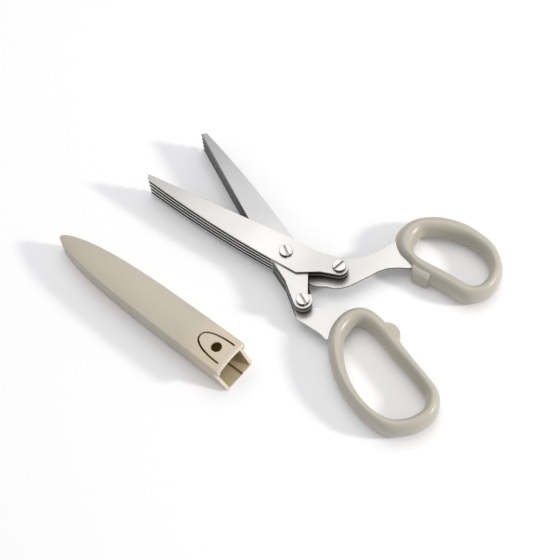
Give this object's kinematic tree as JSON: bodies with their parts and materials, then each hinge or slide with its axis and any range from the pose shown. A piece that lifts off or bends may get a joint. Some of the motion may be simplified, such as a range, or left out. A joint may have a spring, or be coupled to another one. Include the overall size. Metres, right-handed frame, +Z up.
{
  "type": "herb scissors",
  "caption": "Multi-blade herb scissors with two moulded plastic finger loops, an open pivot and a loose blade sheath with a spring tongue.",
  "frame": {"origin": "on the pivot's axis, on the flat underside of the pivot's barrel nut, level with what the scissors lie on", "axes": "+Z up along the pivot's axis, +Y from the pivot towards the blade tips along the middle of the opening, +X to the thumb loop's side"},
  "size_m": [0.1505, 0.1935, 0.0168],
  "materials": {
    "blade_steel": "satin stamped stainless steel",
    "fastener_steel": "turned stainless steel",
    "handle_plastic": "satin moulded plastic, warm beige-grey",
    "sheath_plastic": "satin moulded plastic, warm beige-grey"
  },
  "bodies": {
    "thumb_half": {"thumb_blade_1": "blade_steel", "thumb_blade_2": "blade_steel", "thumb_blade_4": "blade_steel", "thumb_blade_5": "blade_steel", "thumb_main_blade": "blade_steel", "thumb_spacer_1": "fastener_steel", "thumb_spacer_2": "fastener_steel", "thumb_spacer_3": "fastener_steel", "thumb_spacer_4": "fastener_steel", "thumb_screw": "fastener_steel", "thumb_barrel_nut": "fastener_steel", "thumb_handle": "handle_plastic", "pivot_screw": "fastener_steel", "pivot_barrel_nut": "fastener_steel"},
    "finger_half": {"finger_blade_1": "blade_steel", "finger_blade_2": "blade_steel", "finger_blade_4": "blade_steel", "finger_blade_5": "blade_steel", "finger_main_blade": "blade_steel", "finger_spacer_1": "fastener_steel", "finger_spacer_2": "fastener_steel", "finger_spacer_3": "fastener_steel", "finger_spacer_4": "fastener_steel", "finger_screw": "fastener_steel", "finger_barrel_nut": "fastener_steel", "finger_handle": "handle_plastic"},
    "sheath": {"sheath": "sheath_plastic"}
  },
  "joints": [
    {"name": "pivot_hinge", "type": "hinge", "parent": "thumb_half", "child": "finger_half", "pos_m": [0, 0, 0], "axis": [0, 0, 1], "range_deg": [-18, 25.5]},
    {"name": "sheath_slide", "type": "slide", "parent": "thumb_half", "child": "sheath", "axis": [-0.1184, 0.993, 0], "range_m": [0, 0.12]}
  ]
}
